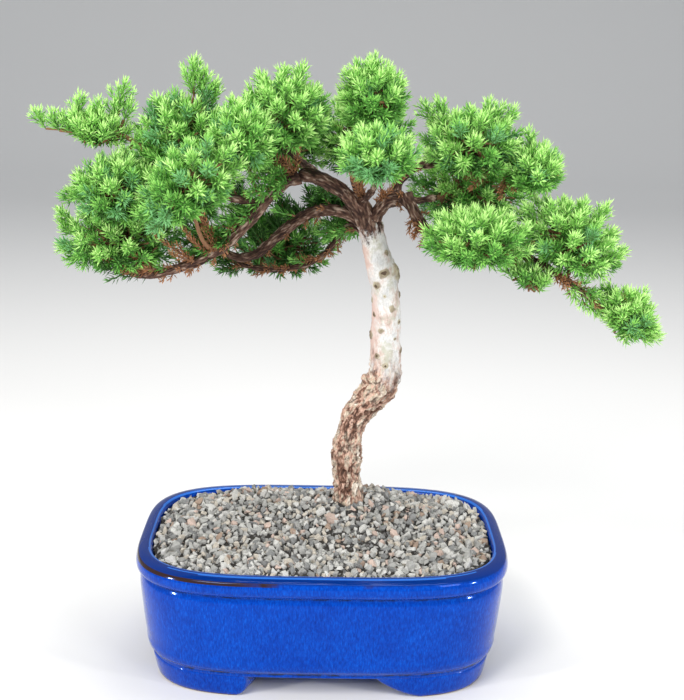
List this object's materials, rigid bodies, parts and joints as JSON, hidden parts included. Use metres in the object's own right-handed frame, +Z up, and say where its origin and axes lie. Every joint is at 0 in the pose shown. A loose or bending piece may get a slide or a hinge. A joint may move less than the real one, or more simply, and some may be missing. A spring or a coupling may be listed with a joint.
{
  "type": "potted bonsai tree",
  "caption": "Juniper bonsai with a leaning bare trunk, a wide lopsided crown of foliage pads and a low oval-rectangular glazed pot filled with gravel.",
  "frame": {"origin": "on the ground, under the middle of the plant's whole outline; the middle of the pot is 14.9 mm to the left of it and 8.9 mm in front of it", "axes": "+Z up, +X to the right along the pot's length with the long cascading side of the crown at +X, +Y to the back"},
  "size_m": [0.336, 0.1648, 0.335],
  "materials": {
    "glaze": "glossy cobalt glaze",
    "gravel": "loose crushed grit, matt",
    "bark": "rough bark, flaky and brown below, pale and smooth above",
    "foliage": "fresh green needles, matt"
  },
  "bodies": {
    "root": {"bough_back": "bark", "bough_back_left": "bark", "bough_back_right": "bark", "bough_cascade": "bark", "bough_crown_left": "bark", "bough_front": "bark", "bough_leader": "bark", "bough_left_shelf": "bark", "bough_lower_left": "bark", "bough_middle_left": "bark", "bough_right_elbow": "bark", "bough_right_upper": "bark", "bough_upper_left_fall": "bark", "bough_upper_left_rise": "bark", "foliage_crown_back": "foliage", "foliage_crown_front": "foliage", "foliage_crown_left": "foliage", "foliage_crown_left_back": "foliage", "foliage_crown_top": "foliage", "foliage_far_left": "foliage", "foliage_inner_left": "foliage", "foliage_left_back": "foliage", "foliage_left_crest": "foliage", "foliage_left_front": "foliage", "foliage_left_shoulder": "foliage", "foliage_left_skirt": "foliage", "foliage_right_back": "foliage", "foliage_right_outer": "foliage", "foliage_right_shoulder": "foliage", "foliage_right_skirt": "foliage", "foliage_right_tip": "foliage", "foliage_right_under": "foliage", "foliage_right_upper": "foliage", "foliage_upper_left": "foliage", "gravel_bed": "gravel", "pot": "glaze", "trunk": "bark"}
  },
  "joints": []
}
